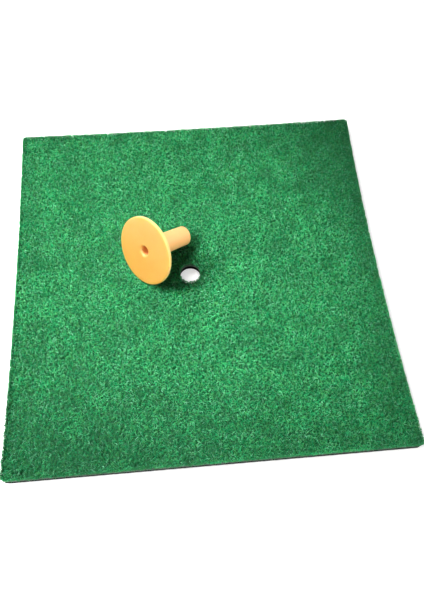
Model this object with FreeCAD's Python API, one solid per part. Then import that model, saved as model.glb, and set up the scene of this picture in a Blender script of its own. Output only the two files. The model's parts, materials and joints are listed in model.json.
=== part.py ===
import FreeCAD, Part

import math
import os

# Golf hitting mat: a square of short curled turf bonded to a thin black foam base, with one
# round hole through it and a loose one-piece rubber tee lying on its side next to the hole.
# Millimetres. The origin is on the floor under the mat's centre, +X runs to the right, +Y to
# the back and +Z up.

# The mat from corner to corner, how far the middle of each bowed side lies inside the line
# between its corners, and the layers from the floor up. The front side is straight.
MAT_SIDE = 300.0
CORNER_RADIUS = 3.0
LEFT_BOW = 2.2
RIGHT_BOW = 4.1
BACK_BOW = 1.3
FOAM_THICKNESS = 4.5
BOND_THICKNESS = 0.3
BACKING_THICKNESS = 0.5
PILE_HEIGHT = 4.7

# The hole that the tee's stem is pushed up through.
HOLE_RADIUS = 8.5
HOLE_X = -7.8
HOLE_Y = 0.6

# The rubber tee, along its own axis from the flange's face to the stem's tip.
FLANGE_RADIUS = 27.9
FLANGE_THICKNESS = 3.4
FLANGE_EDGE_RADIUS = 1.0
TEE_HEIGHT = 44.9
ROOT_FILLET = 3.0
SEAT_RADIUS = 8.4
SEAT_LENGTH = 10.0
TIP_RADIUS = 8.0
TIP_EDGE_RADIUS = 1.5
BORE_RADIUS = 4.0
BORE_MOUTH_RADIUS = 1.8
BORE_TOP = 22.0
CUP_RADIUS = 5.5
CUP_BOTTOM = 26.0
CUP_LIP_RADIUS = 0.8

# Where the tee lies: the middle of its flange's face seen from above, the way its tip
# points, and the air left between it and the turf.
TEE_X = -43.3
TEE_Y = 8.4
TEE_AZIMUTH = 35.3
REST_GAP = 0.3

QUARTER_TURN = math.pi / 2
UP = FreeCAD.Vector(0, 0, 1)


def bowed_side(start, end, bow):
    """A side of the mat between two corners: a shallow arc whose middle lies nearer the mat's centre."""
    middle = (start + end) / 2
    inward = FreeCAD.Vector(-middle.x, -middle.y, 0).normalize()
    return Part.Arc(start, middle + inward * bow, end).toShape()


def mat_layer(bottom, thickness):
    """One flat layer of the mat, with rounded corners and the tee's hole through it."""
    half = MAT_SIDE / 2
    front_left = FreeCAD.Vector(-half, -half, bottom)
    front_right = FreeCAD.Vector(half, -half, bottom)
    back_right = FreeCAD.Vector(half, half, bottom)
    back_left = FreeCAD.Vector(-half, half, bottom)
    outline = Part.Wire([
        Part.makeLine(front_left, front_right),
        bowed_side(front_right, back_right, RIGHT_BOW),
        bowed_side(back_right, back_left, BACK_BOW),
        bowed_side(back_left, front_left, LEFT_BOW),
    ])
    slab = Part.Face(outline).extrude(UP * thickness)
    upright = [edge for edge in slab.Edges if edge.tangentAt(edge.FirstParameter).cross(UP).Length < 0.01]
    slab = slab.makeFillet(CORNER_RADIUS, upright)
    hole = Part.makeCylinder(HOLE_RADIUS, thickness, FreeCAD.Vector(HOLE_X, HOLE_Y, bottom))
    return slab.cut(hole)


def profile_point(radius, along):
    """A point of the tee's half section: its distance from the axis and along it."""
    return FreeCAD.Vector(radius, 0, along)


def rounded(centre_radius, centre_along, corner_radius, start, end):
    """A quarter circle of the half section, between two angles from the outward radius."""
    points = []
    for angle in (start, (start + end) / 2, end):
        radius = centre_radius + corner_radius * math.cos(angle)
        along = centre_along + corner_radius * math.sin(angle)
        points.append(profile_point(radius, along))
    return Part.Arc(*points).toShape()


def joined(pieces):
    """The pieces in order, with a straight line from each to the next, as one closed wire."""
    edges = []
    for piece, following in zip(pieces, pieces[1:] + pieces[:1]):
        end = piece.valueAt(piece.LastParameter)
        start = following.valueAt(following.FirstParameter)
        edges.append(piece)
        edges.append(Part.makeLine(end, start))
    return Part.Wire(edges)


def upright_tee():
    """The tee standing on its flange: disc, filleted stem, bore and cup, in one moulding."""
    root = FLANGE_THICKNESS + ROOT_FILLET
    mouth = rounded(BORE_RADIUS + BORE_MOUTH_RADIUS, BORE_MOUTH_RADIUS, BORE_MOUTH_RADIUS,
                    -2 * QUARTER_TURN, -QUARTER_TURN)
    face_edge = rounded(FLANGE_RADIUS - FLANGE_EDGE_RADIUS, FLANGE_EDGE_RADIUS, FLANGE_EDGE_RADIUS,
                        -QUARTER_TURN, 0)
    stem_side_edge = rounded(FLANGE_RADIUS - FLANGE_EDGE_RADIUS, FLANGE_THICKNESS - FLANGE_EDGE_RADIUS,
                             FLANGE_EDGE_RADIUS, 0, QUARTER_TURN)
    fillet = rounded(SEAT_RADIUS + ROOT_FILLET, root, ROOT_FILLET, -QUARTER_TURN, -2 * QUARTER_TURN)
    seat = Part.makeLine(profile_point(SEAT_RADIUS, root + SEAT_LENGTH / 2),
                         profile_point(SEAT_RADIUS, root + SEAT_LENGTH))
    tip_edge = rounded(TIP_RADIUS - TIP_EDGE_RADIUS, TEE_HEIGHT - TIP_EDGE_RADIUS, TIP_EDGE_RADIUS,
                       0, QUARTER_TURN)
    cup_lip = rounded(CUP_RADIUS + CUP_LIP_RADIUS, TEE_HEIGHT - CUP_LIP_RADIUS, CUP_LIP_RADIUS,
                      QUARTER_TURN, 2 * QUARTER_TURN)
    cup_floor = Part.makeLine(profile_point(CUP_RADIUS, CUP_BOTTOM), profile_point(BORE_RADIUS, BORE_TOP))
    outline = joined([mouth, face_edge, stem_side_edge, fillet, seat, tip_edge, cup_lip, cup_floor])
    return Part.Face(outline).revolve(FreeCAD.Vector(0, 0, 0), UP, 360)


def lying_tee(surface):
    """The tee on its side on a level surface, resting on its flange's rim and its tip's edge."""
    rim_along = FLANGE_THICKNESS - FLANGE_EDGE_RADIUS
    rim_out = FLANGE_RADIUS - FLANGE_EDGE_RADIUS
    tip_along = TEE_HEIGHT - TIP_EDGE_RADIUS
    tip_out = TIP_RADIUS - TIP_EDGE_RADIUS
    between = math.hypot(tip_along - rim_along, rim_out - tip_out)
    tilt = math.atan2(rim_out - tip_out, tip_along - rim_along)
    tilt += math.asin((FLANGE_EDGE_RADIUS - TIP_EDGE_RADIUS) / between)
    below_face = rim_along * math.sin(tilt) + rim_out * math.cos(tilt) + FLANGE_EDGE_RADIUS
    lean = FreeCAD.Rotation(FreeCAD.Vector(0, 1, 0), 90 + math.degrees(tilt))
    turn = FreeCAD.Rotation(UP, TEE_AZIMUTH)
    centre = FreeCAD.Vector(TEE_X, TEE_Y, surface + REST_GAP + below_face)
    tee = upright_tee()
    tee.Placement = FreeCAD.Placement(centre, turn.multiply(lean))
    axis = turn.multiply(lean).multVec(UP)
    print("tee tilt", round(math.degrees(tilt), 3), "face centre", centre, "axis", axis)
    return tee


def main():
    layers = [
        ("foam_base", FOAM_THICKNESS),
        ("latex_bond", BOND_THICKNESS),
        ("primary_backing", BACKING_THICKNESS),
        ("turf_pile", PILE_HEIGHT),
    ]
    os.makedirs("parts", exist_ok=True)
    nodes = {}
    height = 0.0
    for name, thickness in layers:
        nodes[name] = mat_layer(height, thickness)
        height += thickness
    nodes["rubber_tee"] = lying_tee(height)
    for name, shape in nodes.items():
        shape.exportStep(f"parts/{name}.step")
        print(name, "valid", shape.isValid(), "solids", len(shape.Solids), "mm3", round(shape.Volume, 1))


main()
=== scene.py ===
import json
import math

import bmesh
import bpy
import numpy as np
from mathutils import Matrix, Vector


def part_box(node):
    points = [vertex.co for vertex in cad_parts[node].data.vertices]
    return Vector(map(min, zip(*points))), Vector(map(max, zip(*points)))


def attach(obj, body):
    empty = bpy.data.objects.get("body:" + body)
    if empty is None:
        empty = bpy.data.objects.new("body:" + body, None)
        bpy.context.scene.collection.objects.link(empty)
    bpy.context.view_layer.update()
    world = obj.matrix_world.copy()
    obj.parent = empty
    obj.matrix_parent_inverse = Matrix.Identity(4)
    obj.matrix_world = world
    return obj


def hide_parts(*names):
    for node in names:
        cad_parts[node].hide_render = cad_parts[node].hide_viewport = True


# A golf hitting mat: short curled turf on a thin black foam base, with a tee hole through it
# and a loose rubber tee lying beside the hole. Metres, in the frame of the CAD model.

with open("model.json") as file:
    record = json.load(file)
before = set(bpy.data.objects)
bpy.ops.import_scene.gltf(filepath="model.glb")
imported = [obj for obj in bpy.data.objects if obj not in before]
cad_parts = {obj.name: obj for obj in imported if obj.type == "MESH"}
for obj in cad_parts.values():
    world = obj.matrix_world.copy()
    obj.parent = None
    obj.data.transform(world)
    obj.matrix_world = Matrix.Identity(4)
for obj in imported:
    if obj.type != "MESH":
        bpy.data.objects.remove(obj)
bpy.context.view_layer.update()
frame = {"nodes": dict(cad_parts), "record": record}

MM = 0.001
SEED = 20611

mounts = {mount["name"]: mount for mount in frame["record"]["mounts"]}
pile_low, pile_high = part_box("turf_pile")

# The mat's outline: a square whose corners are rounded and whose sides bow in, by so much in
# their middle. The front side is straight.
HALF_SIDE = 150 * MM
CORNER_RADIUS = 3 * MM
LEFT_BOW = 2.2 * MM
RIGHT_BOW = 4.1 * MM
BACK_BOW = 1.3 * MM
HOLE = np.array(mounts["tee_hole"]["pos_m"][:2])
HOLE_RADIUS = mounts["tee_hole"]["dims"]["r_mm"] * MM
CLOTH_TOP = pile_low.z
PILE_TOP = pile_high.z

# The tee's own line: the middle of its flange's face, and the way from there to its tip.
TEE_AXIS = np.array(mounts["tee_stem"]["axis"])
TEE_BORE_POINT = np.array(mounts["tee_bore"]["pos_m"])
TEE_FACE_POINT = np.array(mounts["tee_foot"]["pos_m"])
TEE_FACE = TEE_BORE_POINT + TEE_AXIS * float((TEE_FACE_POINT - TEE_BORE_POINT) @ TEE_AXIS)


# ---------------------------------------------------------------- meshes

def add_object(name, data):
    """An object in the scene with that mesh, lamp or camera."""
    thing = bpy.data.objects.new(name, data)
    bpy.context.scene.collection.objects.link(thing)
    return thing


def mesh_object(name, points, faces, smooth=True):
    """A mesh object from an array of points and a list of face arrays, each of one face size."""
    mesh = bpy.data.meshes.new(name)
    mesh.vertices.add(len(points))
    mesh.vertices.foreach_set("co", np.asarray(points, np.float32).ravel())
    starts, corners, at = [], [], 0
    for group in faces:
        count, size = group.shape
        starts.append(at + size * np.arange(count))
        corners.append(group.ravel())
        at += count * size
    mesh.loops.add(at)
    mesh.loops.foreach_set("vertex_index", np.concatenate(corners).astype(np.int32))
    mesh.polygons.add(sum(len(group) for group in faces))
    mesh.polygons.foreach_set("loop_start", np.concatenate(starts).astype(np.int32))
    mesh.update(calc_edges=True)
    mesh.polygons.foreach_set("use_smooth", np.full(len(mesh.polygons), smooth))
    return add_object(name, mesh)


def point_values(piece, name, values):
    """Stores one number per point, which the piece's material reads."""
    stored = piece.data.attributes.new(name, "FLOAT", "POINT")
    stored.data.foreach_set("value", np.asarray(values, np.float32).ravel())


def unit(vectors):
    """Vectors made one long."""
    return vectors / np.maximum(np.linalg.norm(vectors, axis=-1, keepdims=True), 1e-12)


# ---------------------------------------------------------------- materials

def new_material(name, roughness):
    """A material, its shader and a texture coordinate in the object's own frame."""
    material = bpy.data.materials.new(name)
    material.use_nodes = True
    shader = material.node_tree.nodes["Principled BSDF"]
    shader.inputs["Roughness"].default_value = roughness
    place = add_node(material, "ShaderNodeTexCoord").outputs["Object"]
    return material, shader, place


def add_node(material, kind, inputs=None, **settings):
    """A node with its settings made, its numbers set and its sockets linked."""
    node = material.node_tree.nodes.new(kind)
    for name, value in settings.items():
        setattr(node, name, value)
    for name, value in (inputs or {}).items():
        if isinstance(value, bpy.types.NodeSocket):
            material.node_tree.links.new(value, node.inputs[name])
        else:
            node.inputs[name].default_value = value
    return node


def noise(material, place, scale, detail=2.0, roughness=0.5):
    """Noise from 0 to 1 with that many features a metre."""
    return add_node(material, "ShaderNodeTexNoise",
                    {"Vector": place, "Scale": scale, "Detail": detail, "Roughness": roughness}).outputs["Fac"]


def part_way(material, value, start, end, low=0.0, high=1.0):
    """A value turned to low at start and high at end, held beyond them."""
    node = add_node(material, "ShaderNodeMapRange",
                    {"Value": value, "From Min": start, "From Max": end, "To Min": low, "To Max": high})
    return node.outputs["Result"]


def ramp(material, value, stops):
    """Colours by value. stops are (place, colour)."""
    node = add_node(material, "ShaderNodeValToRGB", {"Fac": value})
    elements = node.color_ramp.elements
    while len(elements) < len(stops):
        elements.new(0.5)
    for element, (at, colour) in zip(elements, stops):
        element.position = at
        element.color = (*colour, 1)
    return node.outputs["Color"]


def grey_ramp(material, value, stops):
    """Numbers by value, as a grey ramp. stops are (place, number)."""
    return ramp(material, value, [(at, (number,) * 3) for at, number in stops])


def mixed(material, factor, first, second, blend="MIX"):
    """Two colours mixed or blended."""
    node = add_node(material, "ShaderNodeMix", data_type="RGBA", blend_type=blend)
    for socket, value in ((node.inputs[0], factor), (node.inputs[6], first), (node.inputs[7], second)):
        if isinstance(value, bpy.types.NodeSocket):
            material.node_tree.links.new(value, socket)
        elif isinstance(value, tuple):
            socket.default_value = (*value, 1)
        else:
            socket.default_value = value
    return node.outputs[2]


def shaded_by(material, colour, shade):
    """A colour darkened by a grey."""
    return mixed(material, 1.0, colour, shade, "MULTIPLY")


def stored_value(material, name):
    """A number stored on the mesh's points."""
    return add_node(material, "ShaderNodeAttribute", attribute_name=name).outputs["Fac"]


def set_colour(material, shader, colour):
    """Links a colour to the shader."""
    material.node_tree.links.new(colour, shader.inputs["Base Color"])


def set_bump(material, shader, height, distance, strength=1.0):
    """Raises the shader's surface by a pattern."""
    bump = add_node(material, "ShaderNodeBump", {"Height": height, "Distance": distance, "Strength": strength})
    material.node_tree.links.new(bump.outputs["Normal"], shader.inputs["Normal"])


# Shades of the yarn, from its darkest to its palest ends, and the yellower one that some are tinted with.
YARN_DARK = (0.001, 0.190, 0.055)
YARN_MID = (0.004, 0.400, 0.127)
YARN_LIGHT = (0.030, 0.540, 0.188)
YARN_PALE = (0.240, 0.740, 0.440)
YARN_WARM = (0.112, 0.500, 0.128)

# Painted shade, standing for light that falls off toward the right, the front and the back right of the turf:
# the way from the mat's middle, the distances between which the painted shade comes on, and how much of the
# colour is left beyond them.
PAINTED_SIDE_SHADES = (
    ((1.0, 0.0, 0.0), 112 * MM, 147 * MM, 0.70),
    ((-0.25, -0.97, 0.0), 88 * MM, 165 * MM, 0.66),
    ((0.87, 0.50, 0.0), 100 * MM, 172 * MM, 0.74),
)


def painted_side_shade(material, place, shaded, way, start, end, darkest):
    """A colour darkened smoothly toward one side of the mat, between two distances from its middle: painted
    shade for light falling off there.
    """
    distance = add_node(material, "ShaderNodeVectorMath", {0: place, 1: way}, operation="DOT_PRODUCT")
    near_side = part_way(material, distance.outputs["Value"], start, end)
    return shaded_by(material, shaded, grey_ramp(material, near_side, [(0.0, 1.0), (1.0, darkest)]))


def yarn_material():
    """Curled nylon yarn: a tone for each strand, in soft patches, darkened at the root and toward some sides of
    the mat by painted shade.
    """
    material, shader, place = new_material("turf_yarn", 0.50)
    strand = ramp(material, stored_value(material, "tone"),
                  [(0.0, YARN_DARK), (0.35, YARN_MID), (0.72, YARN_LIGHT), (1.0, YARN_PALE)])
    strand = mixed(material, stored_value(material, "warmth"), strand, YARN_WARM)
    # Painted shade deep in the pile: each strand darkened toward its root.
    painted_root_shade = grey_ramp(material, stored_value(material, "along"), [(0.10, 0.22), (0.62, 1.0)])
    patches = grey_ramp(material, noise(material, place, 70, 3.0, 0.6), [(0.32, 0.56), (0.68, 0.98)])
    shaded = shaded_by(material, shaded_by(material, strand, painted_root_shade), patches)
    # Painted shade toward the right, front and back right of the mat.
    for way, start, end, darkest in PAINTED_SIDE_SHADES:
        shaded = painted_side_shade(material, place, shaded, way, start, end, darkest)
    set_colour(material, shader, shaded)
    shader.inputs["Specular IOR Level"].default_value = 0.12
    set_bump(material, shader, noise(material, place, 4000, 1.0), 0.04 * MM, 0.5)
    return material


def pile_bed_material():
    """The lower part of the pile, seen between the curled ends, coloured far darker than the yarn as painted
    shade deep in the pile.
    """
    material, shader, place = new_material("turf_bed", 0.85)
    # Painted shade: the yarn's green made very dark, with random flecks.
    painted_shade_fleck = ramp(material, noise(material, place, 900, 3.0, 0.65),
                 [(0.30, (0.001, 0.045, 0.015)), (0.55, (0.004, 0.100, 0.033)), (0.75, (0.012, 0.160, 0.055))])
    set_colour(material, shader, painted_shade_fleck)
    set_bump(material, shader, noise(material, place, 1500, 2.0), 0.3 * MM)
    return material


def foam_material():
    """Matt black closed-cell foam with a fine grain of cut cells."""
    material, shader, place = new_material("black_foam", 0.88)
    cells = add_node(material, "ShaderNodeTexVoronoi", {"Vector": place, "Scale": 2600.0}).outputs["Distance"]
    grain = ramp(material, cells, [(0.10, (0.012, 0.012, 0.013)), (0.55, (0.004, 0.004, 0.0045))])
    dust = grey_ramp(material, noise(material, place, 120, 3.0), [(0.40, 0.85), (0.75, 1.45)])
    set_colour(material, shader, shaded_by(material, grain, dust))
    set_bump(material, shader, cells, 0.12 * MM, 0.8)
    shader.inputs["Specular IOR Level"].default_value = 0.02
    return material


def cloth_material():
    """Woven polypropylene slit-film cloth, seen at the cut edges."""
    material, shader, place = new_material("woven_backing", 0.6)
    weft = add_node(material, "ShaderNodeTexWave", {"Vector": place, "Scale": 190.0}, bands_direction="X")
    warp = add_node(material, "ShaderNodeTexWave", {"Vector": place, "Scale": 110.0}, bands_direction="Y")
    weave = mixed(material, 0.5, weft.outputs["Color"], warp.outputs["Color"])
    set_colour(material, shader,
               ramp(material, weave, [(0.2, (0.040, 0.120, 0.065)), (0.8, (0.110, 0.230, 0.140))]))
    set_bump(material, shader, weave, 0.1 * MM)
    return material


def latex_material():
    """Cured latex, dull and slightly mottled."""
    material, shader, place = new_material("latex_film", 0.7)
    mottle = noise(material, place, 500, 2.0)
    set_colour(material, shader,
               ramp(material, mottle, [(0.3, (0.080, 0.120, 0.085)), (0.7, (0.150, 0.200, 0.150))]))
    set_bump(material, shader, mottle, 0.08 * MM)
    return material


# How far behind its flange's face the tee's colour turns to the rim's paler one, a painted highlight on the
# flange's rim, and then to the stem's.
RIM_HIGHLIGHT_START, RIM_HIGHLIGHT_FULL = 0.2 * MM, 1.0 * MM
STEM_START, STEM_FULL = 3.2 * MM, 3.8 * MM


def along_tee(material, place):
    """How far behind its flange's face a point of the tee is, in metres."""
    from_face = add_node(material, "ShaderNodeVectorMath", {0: place, 1: tuple(TEE_FACE)}, operation="SUBTRACT")
    return add_node(material, "ShaderNodeVectorMath", {0: from_face.outputs["Vector"], 1: tuple(TEE_AXIS)},
                    operation="DOT_PRODUCT").outputs["Value"]


def tee_material():
    """Satin yellow-orange rubber, deeper on the face, paler on the rim as a painted highlight on the flange's
    rim, and paler on the stem.
    """
    material, shader, place = new_material("tee_rubber", 0.42)
    mottle = noise(material, place, 60, 3.0)
    face = ramp(material, mottle, [(0.3, (0.91, 0.422, 0.070)), (0.7, (0.95, 0.448, 0.080))])
    # The rim's paler colour is a painted highlight on the flange's rim.
    rim = ramp(material, mottle, [(0.3, (0.94, 0.560, 0.190)), (0.7, (0.97, 0.600, 0.210))])
    stem = ramp(material, mottle, [(0.3, (0.92, 0.430, 0.165)), (0.7, (0.95, 0.460, 0.180))])
    behind = along_tee(material, place)
    flange = mixed(material, part_way(material, behind, RIM_HIGHLIGHT_START, RIM_HIGHLIGHT_FULL), face, rim)
    colour = mixed(material, part_way(material, behind, STEM_START, STEM_FULL), flange, stem)
    set_colour(material, shader, colour)
    set_bump(material, shader, noise(material, place, 2500, 2.0), 0.02 * MM, 0.6)
    sheen = grey_ramp(material, noise(material, place, 300, 2.0), [(0.3, 0.38), (0.7, 0.50)])
    material.node_tree.links.new(sheen, shader.inputs["Roughness"])
    shader.inputs["Subsurface Weight"].default_value = 0.80
    shader.inputs["Subsurface Radius"].default_value = (1.0, 0.75, 0.50)
    shader.inputs["Subsurface Scale"].default_value = 5 * MM
    shader.inputs["Specular IOR Level"].default_value = 0.8
    return material


def floor_material():
    """Plain pale studio floor with a glow of its own, stronger beyond the mat; the weaker glow under the mat is
    painted shade, seen through the hole.
    """
    material, shader, place = new_material("pale_floor", 0.9)
    tint = noise(material, place, 1.5, 1.0)
    set_colour(material, shader, ramp(material, tint, [(0.3, (0.84, 0.84, 0.84)), (0.7, (0.86, 0.86, 0.86))]))
    from_middle = add_node(material, "ShaderNodeVectorMath", {0: place}, operation="LENGTH").outputs["Value"]
    # Painted shade: the glow is weaker under the mat.
    glow_with_painted_shade = part_way(material, from_middle, 0.10, 0.20, 0.58, 0.76)
    shader.inputs["Emission Color"].default_value = (1, 1, 1, 1)
    material.node_tree.links.new(glow_with_painted_shade, shader.inputs["Emission Strength"])
    return material


# ---------------------------------------------------------------- the mat's outline

def bowed(flat):
    """Points of a straight-sided square moved with its sides as they bow in."""
    x, y = flat[..., 0] / HALF_SIDE, flat[..., 1] / HALF_SIDE
    x_bow = np.where(x > 0, RIGHT_BOW, LEFT_BOW)
    y_bow = np.where(y > 0, BACK_BOW, 0)
    return flat - np.stack([x_bow * x ** 3 * (1 - y ** 2), y_bow * y ** 3 * (1 - x ** 2)], axis=-1)


def inside_mat(points, margin):
    """Which points lie on the straight-sided mat, at least margin in from its outline and its hole."""
    beyond = np.maximum(np.abs(points) - (HALF_SIDE - CORNER_RADIUS), 0)
    in_outline = np.hypot(beyond[:, 0], beyond[:, 1]) <= CORNER_RADIUS - margin
    clear_of_hole = np.hypot(*(points - HOLE).T) >= HOLE_RADIUS + margin
    return in_outline & clear_of_hole


def outline_points(step):
    """Points round the straight-sided outline, and the way out from it at each."""
    straight = HALF_SIDE - CORNER_RADIUS
    along = np.arange(-straight, straight, step)
    bends = np.arange(0, math.pi / 2, step / CORNER_RADIUS)
    points, outward = [], []
    for turn in range(4):
        angle = turn * math.pi / 2
        out = np.array([math.cos(angle), math.sin(angle)])
        side = np.array([-out[1], out[0]])
        points.append(out * HALF_SIDE + side * along[:, None])
        outward.append(np.repeat(out[None], len(along), axis=0))
        spokes = np.stack([np.cos(angle + bends), np.sin(angle + bends)], axis=1)
        points.append((out + side) * straight + spokes * CORNER_RADIUS)
        outward.append(spokes)
    return np.concatenate(points), np.concatenate(outward)


def hole_points(step):
    """Points round the hole, and the way out from the mat's material at each."""
    turns = np.arange(0, 2 * math.pi, step / HOLE_RADIUS)
    spokes = np.stack([np.cos(turns), np.sin(turns)], axis=1)
    return HOLE + spokes * HOLE_RADIUS, -spokes


# ---------------------------------------------------------------- foam, latex and cloth

CUT_STEP = 0.8 * MM


def torn_loops(mesh, random, ring, outward, levels, rough):
    """The rings of points up one cut side, each torn in and out, and the faces between them."""
    torn = random.uniform(-1, 0, (len(levels), len(ring), 1)) * rough
    torn = (torn + np.roll(torn, 1, axis=1)) / 2
    torn[[0, -1]] *= 0.5
    loops = []
    for level, shift in zip(levels, torn):
        flat = bowed(ring + outward * shift)
        loops.append([mesh.verts.new((x, y, level)) for x, y in flat])
    for below, above in zip(loops, loops[1:]):
        for index in range(len(ring)):
            following = (index + 1) % len(ring)
            mesh.faces.new((below[index], below[following], above[following], above[index]))
    return loops


def make_layer(name, node, material, rows, rough):
    """One die-cut layer of the mat, whose cut sides are torn in and out by up to rough."""
    random = np.random.default_rng(SEED + rows)
    low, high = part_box(node)
    levels = np.linspace(low.z, high.z, rows)
    mesh = bmesh.new()
    sides = [torn_loops(mesh, random, ring, outward, levels, rough)
             for ring, outward in (outline_points(CUT_STEP), hole_points(CUT_STEP))]
    for end in (0, -1):
        loops = [side[end] for side in sides]
        edges = [mesh.edges.get((loop[index - 1], loop[index])) for loop in loops for index in range(len(loop))]
        bmesh.ops.triangle_fill(mesh, use_beauty=True, edges=edges)
    bmesh.ops.recalc_face_normals(mesh, faces=mesh.faces)
    data = bpy.data.meshes.new(name)
    mesh.to_mesh(data)
    mesh.free()
    data.materials.append(material)
    piece = add_object(name, data)
    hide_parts(node)
    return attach(piece, "mat")


# ---------------------------------------------------------------- turf

# The curled ends stand on a jittered grid, in so many tiles a side. Each is a bent three-sided rod.
TILES = 5
STRAND_PITCH = 1.0 * MM
STRAND_JITTER = 0.55
STRAND_SEGMENTS = 5
STRAND_SIDES = 3
FIELD_MARGIN = 0.35 * MM
ROOT_DEPTH = 0.1 * MM

# Ranges that each end's shape is drawn from, in millimetres apart from the turns of its curl.
# Heights have a mean and a spread.
HEIGHTS = (4.65, 0.45)
REACHES = (1.0, 3.0)
CURLS = (0.15, 0.60)
CURL_TURNS = (0.5, 1.3)
DROOPS = (0.0, 1.5)
RADII = (0.16, 0.26)
TAPER = 0.35

# Along an end, from 0 at its root to 1: it stops rising at 1 / RISE_RATE and droops past DROOP_START.
RISE_RATE = 1.45
DROOP_START = 0.6
DROOP_GAIN = 3
DROOP_POWER = 1.5

# Neighbouring ends are pulled together in clumps.
CLUMP_PITCH = 1.6 * MM
CLUMP_PULL = 0.55
BORDER_PULL = 0.15
PULL_POWER = 1.3

# The colour of each end: the mean and spread of its tone, how much darker the outline's are, as painted shade
# along the cut edge, and how yellow the warmest are.
TONES = (0.5, 0.32)
OUTLINE_PAINTED_SHADE = 0.12
WARMEST = 0.8

# Extra ends stand close together along the cut outline and round the hole. They lean out over
# the cut. The outline's stand taller, more upright and wavier, and most of them are near the cut.
# The hole's all lean to the back right too, by HOLE_NAP.
BORDER_JITTER = 0.15
BORDER_DROOP = 0.1
OUTLINE_PITCH = 0.15 * MM
OUTLINE_INSET = 1.20 * MM
OUTLINE_OVERHANG = 0.1
OUTLINE_CROWDING = 1.5
OUTLINE_LIFT = 0.60 * MM
OUTLINE_LEAN = 1.0
OUTLINE_REACH = 0.35
OUTLINE_CURL = 1.7
OUTLINE_OVERSHOOT = 0.75
HOLE_PITCH = 0.28 * MM
HOLE_INSET = 0.25 * MM
HOLE_LEAN = 0.4
HOLE_NAP = np.array([0.5, 1.2])
HOLE_REACH = 0.6
HOLE_OVERSHOOT = 0.20

# The pile stays below its ceiling, and lower in the dents where the tee's rim and tip rest. The rim
# touches so far back from the middle of the flange's face, and the tip so far along the tee's axis.
PILE_CEILING = 10 * MM
DENT_CLEARANCE = 0.1 * MM
DENT_FLAT = 0.4
DENT_RISE = 2.5 * MM
TEE_RIM_BACK = 10.5 * MM
TEE_RIM_DENT = 7 * MM
TEE_TIP_ALONG = 40 * MM
TEE_TIP_DENT = 4 * MM

# The dense lower pile under the curled ends, which stands higher along the outline. Its grid points
# that are within so much of the grid's pitch of the hole's rim are moved onto it.
BED_PITCH = 1.5 * MM
BED_SNAP = 0.75
BED_INSET = 0.4 * MM
BED_TOP = CLOTH_TOP + 2.2 * MM
BED_LUMPS = 0.45 * MM
BED_RIM_RISE = 1.3 * MM
BED_RIM_WIDTH = 3.0 * MM


def field_roots(random):
    """A jittered grid of tufts over the whole mat."""
    count = int(2 * HALF_SIDE / STRAND_PITCH)
    steps = (np.arange(count) + 0.5) / count * 2 * HALF_SIDE - HALF_SIDE
    grid = np.stack(np.meshgrid(steps, steps), axis=-1).reshape(-1, 2)
    grid += random.uniform(-STRAND_JITTER, STRAND_JITTER, grid.shape) * STRAND_PITCH
    return grid[inside_mat(grid, FIELD_MARGIN)]


def border_roots(random):
    """Extra tufts inside the outline and round the hole, the way each leans and its added height."""
    outline, out = outline_points(OUTLINE_PITCH)
    rim, inward = hole_points(HOLE_PITCH)
    inset = random.uniform(0, 1, (len(outline), 1)) ** OUTLINE_CROWDING - OUTLINE_OVERHANG
    outline = outline - OUTLINE_INSET * inset * out
    roots = np.concatenate([outline, rim - HOLE_INSET * inward])
    lean = np.concatenate([OUTLINE_LEAN * out, HOLE_NAP + HOLE_LEAN * inward])
    lift = np.concatenate([np.full(len(outline), OUTLINE_LIFT), np.zeros(len(rim))])
    return roots + random.uniform(-BORDER_JITTER, BORDER_JITTER, roots.shape) * MM, lean, lift


def headroom(roots):
    """How high the pile may stand at each root: its full height, or less where the tee presses on it."""
    limit = np.full(len(roots), PILE_CEILING)
    level_way = TEE_AXIS[:2] / np.hypot(*TEE_AXIS[:2])
    rim_contact = TEE_FACE[:2] - level_way * TEE_RIM_BACK
    tip_contact = TEE_FACE[:2] + TEE_AXIS[:2] * TEE_TIP_ALONG
    for contact, dent in ((rim_contact, TEE_RIM_DENT), (tip_contact, TEE_TIP_DENT)):
        distance = np.hypot(*(roots - contact).T)
        rise = DENT_RISE * np.maximum(distance / dent - DENT_FLAT, 0)
        limit = np.minimum(limit, PILE_TOP - DENT_CLEARANCE + rise)
    return limit


def field_value(grid, pitch, points):
    """A grid of values read at points, straight between the grid's lines."""
    place = (points + HALF_SIDE) / pitch
    low = np.clip(np.floor(place).astype(int), 0, len(grid) - 2)
    part = np.clip(place - low, 0, 1)
    total = 0
    for x_step, x_weight in ((0, 1 - part[:, 0]), (1, part[:, 0])):
        for y_step, y_weight in ((0, 1 - part[:, 1]), (1, part[:, 1])):
            total = total + grid[low[:, 0] + x_step, low[:, 1] + y_step] * x_weight * y_weight
    return total


def clump_pull(random, roots):
    """Which way, and how strongly, each root's clump draws it."""
    lines = int(2 * HALF_SIDE / CLUMP_PITCH) + 3
    pull = [field_value(random.normal(size=(lines, lines)), CLUMP_PITCH, roots) for _ in range(2)]
    return np.stack(pull, axis=1)


def trimmed(flat):
    """Points that lean past the die-cut outline or into the hole, drawn back a little to the cut."""
    straight = HALF_SIDE - CORNER_RADIUS
    core = np.clip(flat, -straight, straight)
    out = flat - core
    distance = np.linalg.norm(out, axis=-1, keepdims=True)
    past_outline = np.maximum(distance - CORNER_RADIUS, 0)
    kept = np.minimum(distance, CORNER_RADIUS) + OUTLINE_OVERSHOOT * past_outline
    flat = core + out * kept / np.maximum(distance, 1e-9)
    spoke = flat - HOLE
    distance = np.maximum(np.linalg.norm(spoke, axis=-1, keepdims=True), 1e-9)
    past_rim = np.maximum(HOLE_RADIUS - distance, 0)
    kept = np.maximum(distance, HOLE_RADIUS) - (1 - HOLE_OVERSHOOT) * past_rim
    return HOLE + spoke * kept / distance


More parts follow.
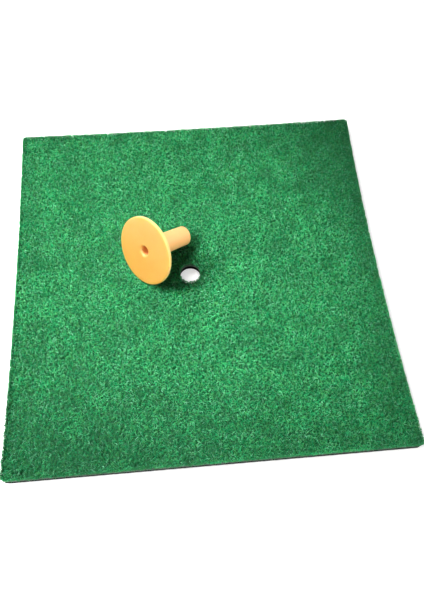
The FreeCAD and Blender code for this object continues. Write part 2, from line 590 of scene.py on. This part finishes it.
def strand_paths(random, roots, outward, lift):
    """The bent centre line of every strand, and how thick it is along it."""
    count = len(roots)
    along = np.linspace(0, 1, STRAND_SEGMENTS + 1)
    at_border = outward.any(axis=1)
    at_outline = lift > 0
    heading = random.uniform(0, 2 * math.pi, count)
    lean = unit(np.stack([np.cos(heading), np.sin(heading)], axis=1) + outward)
    across = np.stack([-lean[:, 1], lean[:, 0]], axis=1)
    height = np.minimum(random.normal(*HEIGHTS, count) * MM, headroom(roots) - CLOTH_TOP) + lift
    reach_share = np.select([at_outline, at_border], [OUTLINE_REACH, HOLE_REACH], 1)
    reach = random.uniform(*REACHES, count) * MM * reach_share
    curl = random.uniform(*CURLS, count) * MM * np.where(at_outline, OUTLINE_CURL, 1)
    turns = random.uniform(*CURL_TURNS, count)
    phase = random.uniform(0, 2 * math.pi, count)
    droop = random.uniform(*DROOPS, count) * MM * np.where(at_border, BORDER_DROOP, 1)
    forward = reach[:, None] * along ** 2
    sideways = curl[:, None] * (np.sin(2 * math.pi * turns[:, None] * along + phase[:, None])
                                - np.sin(phase)[:, None]) * along
    rise = height[:, None] * np.sin(np.minimum(along * RISE_RATE, 1) * math.pi / 2)
    rise = rise - droop[:, None] * np.maximum(along - DROOP_START, 0) ** DROOP_POWER * DROOP_GAIN
    flat = roots[:, None] + lean[:, None] * forward[..., None] + across[:, None] * sideways[..., None]
    strength = np.where(at_border, BORDER_PULL, CLUMP_PULL) * MM
    flat += clump_pull(random, roots)[:, None] * (strength[:, None] * along ** PULL_POWER)[..., None]
    paths = np.concatenate([bowed(trimmed(flat)), (CLOTH_TOP - ROOT_DEPTH + rise)[..., None]], axis=2)
    radius = random.uniform(*RADII, count)[:, None] * MM * (1 - TAPER * along ** 2)
    return paths, radius


def strand_points(paths, radius):
    """The corners of every strand's rings, carried along its line without twisting."""
    tangents = unit(np.gradient(paths, axis=1))
    normal = unit(np.cross(tangents[:, 0], [1.0, 0.2, 0.1]))
    rings = []
    for step in range(paths.shape[1]):
        tangent = tangents[:, step]
        normal = unit(normal - tangent * (normal * tangent).sum(1, keepdims=True))
        other = np.cross(tangent, normal)
        for side in range(STRAND_SIDES):
            angle = 2 * math.pi * side / STRAND_SIDES
            offset = normal * math.cos(angle) + other * math.sin(angle)
            rings.append(paths[:, step] + offset * radius[:, step, None])
    return np.stack(rings, axis=1)


def strand_faces(count):
    """The side and end faces of closed strands whose points follow one another."""
    rings = STRAND_SEGMENTS + 1
    first = np.arange(count)[:, None] * rings * STRAND_SIDES
    sides = []
    for step in range(STRAND_SEGMENTS):
        for side in range(STRAND_SIDES):
            near, far = step * STRAND_SIDES, (step + 1) * STRAND_SIDES
            following = (side + 1) % STRAND_SIDES
            sides.append(first + np.array([near + side, near + following, far + following, far + side]))
    start_cap = first + np.arange(STRAND_SIDES)[::-1]
    end_cap = first + STRAND_SEGMENTS * STRAND_SIDES + np.arange(STRAND_SIDES)
    return [np.concatenate(sides), np.concatenate([start_cap, end_cap])]


def strand_tile(name, paths, radius, shades, material):
    """One square of turf: many closed strands in one piece."""
    points = strand_points(paths, radius)
    piece = mesh_object(name, points.reshape(-1, 3), strand_faces(len(paths)))
    rings = np.repeat(np.linspace(0, 1, STRAND_SEGMENTS + 1), STRAND_SIDES)
    point_values(piece, "along", np.tile(rings, len(paths)))
    for value, numbers in shades.items():
        point_values(piece, value, np.repeat(numbers, points.shape[1]))
    piece.data.materials.append(material)
    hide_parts("turf_pile")
    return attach(piece, "mat")


def make_turf():
    """All the strands, in tiles small enough to handle."""
    random = np.random.default_rng(SEED)
    field = field_roots(random)
    border, border_out, border_lift = border_roots(random)
    roots = np.concatenate([field, border])
    outward = np.concatenate([np.zeros_like(field), border_out])
    lift = np.concatenate([np.zeros(len(field)), border_lift])
    paths, radius = strand_paths(random, roots, outward, lift)
    # The outline's ends are darkened as painted shade along the cut edge.
    tone = random.normal(*TONES, len(roots)) - np.where(lift > 0, OUTLINE_PAINTED_SHADE, 0)
    shades = {"tone": np.clip(tone, 0, 1),
              "warmth": WARMEST * random.uniform(0, 1, len(roots)) ** 2}
    cell = np.clip(((roots + HALF_SIDE) / (2 * HALF_SIDE) * TILES).astype(int), 0, TILES - 1)
    material = yarn_material()
    for row in range(TILES):
        for column in range(TILES):
            chosen = (cell[:, 0] == column) & (cell[:, 1] == row)
            tile_shades = {value: numbers[chosen] for value, numbers in shades.items()}
            strand_tile(f"turf_strands_{row + 1}_{column + 1}", paths[chosen], radius[chosen],
                        tile_shades, material)


def lumps(random, shape):
    """Random heights on a grid, blurred once, from about -1 to 1."""
    field = random.normal(size=shape)
    for axis in (0, 1):
        field = (np.roll(field, 1, axis) + 2 * field + np.roll(field, -1, axis)) / 4
    return field / (2 * field.std())


def rim_edges(cells, points):
    """The edges of a patch of square cells that only one cell has."""
    edges = np.concatenate([cells[:, [corner, (corner + 1) % 4]] for corner in range(4)])
    key = edges.min(axis=1) * points + edges.max(axis=1)
    _, first, uses = np.unique(key, return_index=True, return_counts=True)
    return edges[first[uses == 1]]


def make_pile_bed():
    """The dense lower pile as one closed lumpy slab between the cloth and the curled ends."""
    random = np.random.default_rng(SEED + 1)
    side = HALF_SIDE - BED_INSET
    count = int(round(2 * side / BED_PITCH))
    steps = np.linspace(-side, side, count + 1)
    x, y = np.meshgrid(steps, steps, indexing="ij")
    flat = np.stack([x, y], axis=-1).reshape(-1, 2)
    from_outline = side - np.abs(flat).max(axis=1)
    height = BED_TOP + BED_LUMPS * lumps(random, x.shape).ravel()
    height += BED_RIM_RISE * np.clip(1 - from_outline / BED_RIM_WIDTH, 0, 1)
    from_hole = flat - HOLE
    distance = np.hypot(*from_hole.T)
    rim = HOLE_RADIUS + BED_INSET
    near = np.abs(distance - rim) < BED_SNAP * BED_PITCH
    flat[near] = HOLE + from_hole[near] * (rim / distance[near])[:, None]
    index = np.arange((count + 1) ** 2).reshape(count + 1, count + 1)
    cells = np.stack([index[:-1, :-1], index[1:, :-1], index[1:, 1:], index[:-1, 1:]], axis=-1).reshape(-1, 4)
    cells = cells[inside_mat(flat[cells].mean(axis=1), BED_INSET)]
    below = len(flat)
    rim_top = rim_edges(cells, below)
    flat = bowed(flat)
    top = np.concatenate([flat, height[:, None]], axis=1)
    bottom = np.concatenate([flat, np.full((len(flat), 1), CLOTH_TOP)], axis=1)
    walls = np.stack([rim_top[:, 1], rim_top[:, 0], rim_top[:, 0] + below, rim_top[:, 1] + below], axis=1)
    faces = np.concatenate([cells, cells[:, ::-1] + below, walls])
    used, renumbered = np.unique(faces, return_inverse=True)
    points = np.concatenate([top, bottom])[used]
    piece = mesh_object("turf_bed", points, [renumbered.reshape(-1, 4)])
    piece.data.materials.append(pile_bed_material())
    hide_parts("turf_pile")
    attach(piece, "mat")


# ---------------------------------------------------------------- stage

FLOOR_REACH = 8.0
FLOOR_GAP = 0.1 * MM

# Soft round lamps: where each hangs, the point it faces and the width of its beam in degrees.
LAMP_SIZE = 0.46
KEY = ((-0.50, 0.03, 0.58), (-0.041, -0.010, 0.0), 35.6)
SIDE = ((-0.33, 0.38, 0.57), (-0.090, 0.069, 0.0), 30.8)
FRONT = ((0.34, -0.21, 0.53), (-0.03, 0.0, 0.02), 70)

CAMERA_PLACE = (-0.0222, -0.2509, 0.5055)
CAMERA_TURN = (30.93, -1.16, -5.04)
CAMERA_LENS = 40.8
CAMERA_SHIFT = -0.125


def make_floor():
    """A plain pale floor just under the mat."""
    corners = np.array([(-1, -1, 0), (1, -1, 0), (1, 1, 0), (-1, 1, 0)]) * FLOOR_REACH
    floor = mesh_object("floor", corners - [0, 0, FLOOR_GAP], [np.array([[0, 1, 2, 3]])], smooth=False)
    floor.data.materials.append(floor_material())


def make_surroundings():
    """Even grey light from all round, brighter near the horizon."""
    world = bpy.data.worlds.new("studio")
    world.use_nodes = True
    direction = add_node(world, "ShaderNodeTexCoord").outputs["Generated"]
    height = add_node(world, "ShaderNodeSeparateXYZ", {"Vector": direction}).outputs["Z"]
    backdrop = grey_ramp(world, height, [(0.16, 0.86), (0.36, 0.22)])
    world.node_tree.links.new(backdrop, world.node_tree.nodes["Background"].inputs["Color"])
    bpy.context.scene.world = world


def add_lamp(name, lit, beam, watts):
    """A soft round lamp that lights only the chosen pieces."""
    place, target, spread = beam
    light = bpy.data.lights.new(name, "AREA")
    light.shape = "DISK"
    light.size = LAMP_SIZE
    light.energy = watts
    light.spread = math.radians(spread)
    lamp = add_object(name, light)
    lamp.location = place
    lamp.rotation_euler = (Vector(target) - Vector(place)).to_track_quat("-Z", "Y").to_euler()
    lamp.light_linking.receiver_collection = lit
    lamp.visible_camera = False


def make_lamps():
    """A key and a side lamp over the left side, for all but the tee, which has lamps of its own.

    The tee's key and side lamps hang in the same places, and its third is at the front right.
    """
    tee_only = bpy.data.collections.new("tee_only")
    all_but_tee = bpy.data.collections.new("all_but_tee")
    for lit in (tee_only, all_but_tee):
        lit.objects.link(frame["nodes"]["rubber_tee"])
    all_but_tee.collection_objects[0].light_linking.link_state = "EXCLUDE"
    add_lamp("key", all_but_tee, KEY, watts=1.66)
    add_lamp("side", all_but_tee, SIDE, watts=0.57)
    add_lamp("tee_key", tee_only, KEY, watts=0.25)
    add_lamp("tee_side", tee_only, SIDE, watts=0.62)
    add_lamp("tee_front", tee_only, FRONT, watts=0.78)


def make_camera():
    """The camera, looking down at the mat from its front."""
    data = bpy.data.cameras.new("camera")
    data.lens = CAMERA_LENS
    data.shift_y = CAMERA_SHIFT
    data.clip_start = 0.01
    camera = add_object("camera", data)
    camera.location = CAMERA_PLACE
    camera.rotation_euler = [math.radians(angle) for angle in CAMERA_TURN]
    bpy.context.scene.camera = camera
    bpy.context.scene.view_settings.view_transform = "Standard"


# ---------------------------------------------------------------- the whole

make_floor()
make_surroundings()
make_lamps()
make_camera()
make_pile_bed()
make_turf()
foam = make_layer("foam_underlay", "foam_base", foam_material(), 9, 0.16 * MM)
make_layer("latex_film", "latex_bond", latex_material(), 2, 0.10 * MM)
cloth = make_layer("woven_cloth", "primary_backing", cloth_material(), 3, 0.10 * MM)
tee = frame["nodes"]["rubber_tee"]
tee.data.materials.clear()
tee.data.materials.append(tee_material())
